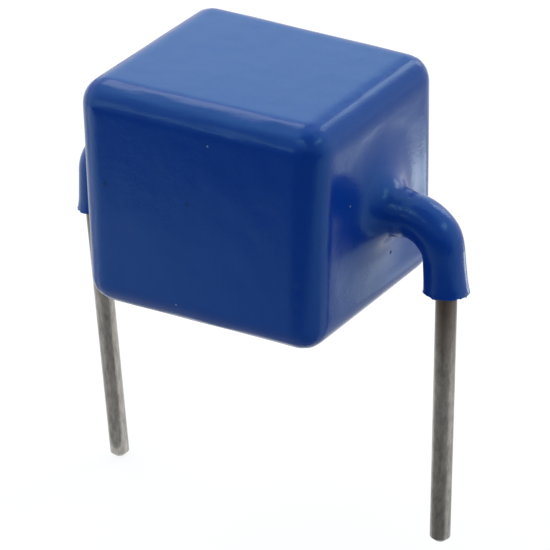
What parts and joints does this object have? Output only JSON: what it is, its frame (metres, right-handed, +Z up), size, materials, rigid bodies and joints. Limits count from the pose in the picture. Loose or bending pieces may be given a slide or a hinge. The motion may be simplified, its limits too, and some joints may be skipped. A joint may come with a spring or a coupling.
{
  "type": "transient voltage suppressor diode",
  "caption": "High-surge transient voltage suppressor diode: a stack of silicon dies in a blue dipped epoxy block, with bent round leads for through-hole soldering.",
  "frame": {"origin": "centre of the coating's flat underside, which faces the circuit board", "axes": "+X along the die stack from the left lead to the right lead, +Z up away from the board, -Y the bare front face"},
  "size_m": [0.0278, 0.0152, 0.0309],
  "materials": {
    "epoxy": "dip-coated epoxy, glossy, slightly uneven",
    "silicone": "cured silicone buffer, milky",
    "tinned_wire": "dull tinned copper wire, lightly streaked",
    "copper": "bare stamped copper",
    "silicon": "diffused silicon, dark, metallised",
    "solder": "high-lead solder, dull"
  },
  "bodies": {
    "root": {"epoxy_coating": "epoxy", "junction_coating": "silicone", "lead_wire_left": "tinned_wire", "lead_wire_right": "tinned_wire", "end_plate_left": "copper", "end_plate_right": "copper", "copper_spacer_1": "copper", "copper_spacer_2": "copper", "copper_spacer_3": "copper", "copper_spacer_4": "copper", "copper_spacer_5": "copper", "copper_spacer_6": "copper", "copper_spacer_7": "copper", "silicon_die_1": "silicon", "silicon_die_2": "silicon", "silicon_die_3": "silicon", "silicon_die_4": "silicon", "silicon_die_5": "silicon", "silicon_die_6": "silicon", "silicon_die_7": "silicon", "silicon_die_8": "silicon", "solder_01": "solder", "solder_02": "solder", "solder_03": "solder", "solder_04": "solder", "solder_05": "solder", "solder_06": "solder", "solder_07": "solder", "solder_08": "solder", "solder_09": "solder", "solder_10": "solder", "solder_11": "solder", "solder_12": "solder", "solder_13": "solder", "solder_14": "solder", "solder_15": "solder", "solder_16": "solder", "solder_head_left": "solder", "solder_head_right": "solder"}
  },
  "joints": []
}
